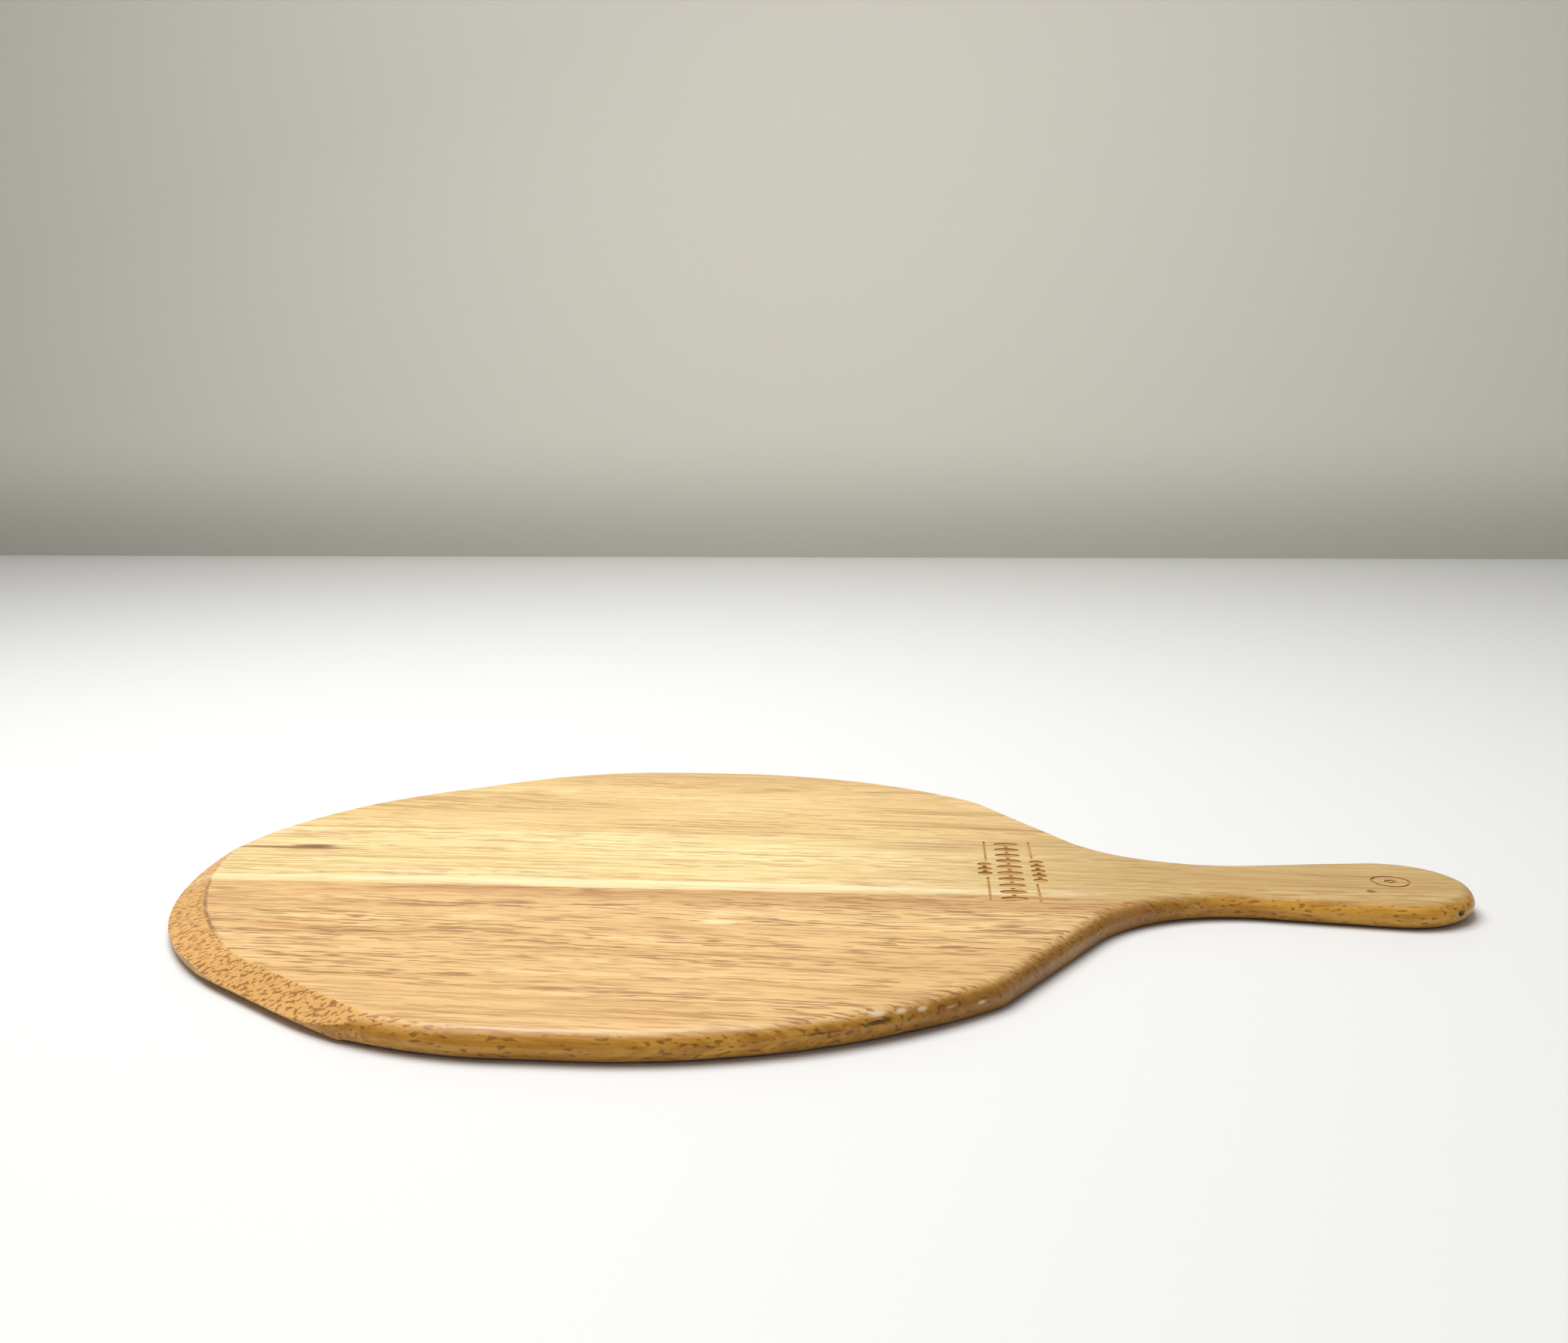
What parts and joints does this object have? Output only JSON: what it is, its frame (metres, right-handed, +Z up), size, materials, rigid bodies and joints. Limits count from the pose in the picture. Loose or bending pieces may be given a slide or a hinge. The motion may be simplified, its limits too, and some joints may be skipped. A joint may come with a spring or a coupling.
{
  "type": "pizza peel",
  "caption": "Flat round-bladed wooden peel of boards glued edge to edge, with a tapered handle, a rounded rim and a thinned front edge.",
  "frame": {"origin": "middle of the underside, on the surface that the peel lies on", "axes": "+X along the peel from the front of the blade to the handle's end, +Y across the blade, +Z up out of the face that holds the food"},
  "size_m": [0.436, 0.305, 0.009],
  "materials": {
    "pinkish_hardwood": "satin",
    "pale_hardwood": "satin",
    "golden_hardwood": "satin",
    "wood_glue": "matte"
  },
  "bodies": {
    "root": {"near_stave": "pinkish_hardwood", "handle_stave": "pale_hardwood", "far_stave": "golden_hardwood", "near_glue_line": "wood_glue", "far_glue_line": "wood_glue"}
  },
  "joints": []
}
